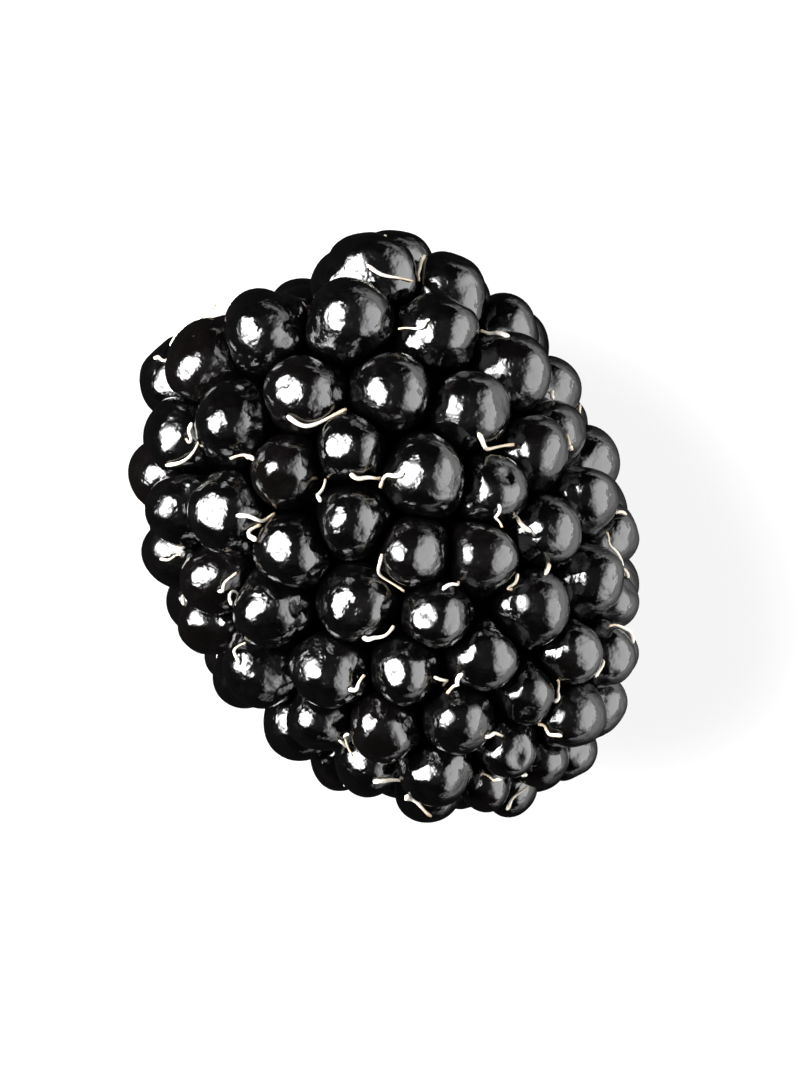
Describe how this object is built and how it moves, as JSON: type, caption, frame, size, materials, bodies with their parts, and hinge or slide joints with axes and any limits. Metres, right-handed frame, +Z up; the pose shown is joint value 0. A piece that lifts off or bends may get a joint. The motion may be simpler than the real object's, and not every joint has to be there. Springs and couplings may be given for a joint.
{
  "type": "bramble berry",
  "caption": "Ripe bramble berry lying on its side: glossy near-black drupelets packed round a core, with dried styles between them and a pale scar where the stalk was.",
  "frame": {"origin": "middle of the bounding box's bottom face, on the surface the berry lies on", "axes": "+Z up; the tip points along -Y and the stem end along +Y"},
  "size_m": [0.0228, 0.0281, 0.021],
  "materials": {
    "drupelet_skin": "gloss",
    "receptacle": "matte",
    "dried_style": "satin"
  },
  "bodies": {
    "root": {"berry": "drupelet_skin"}
  },
  "joints": []
}
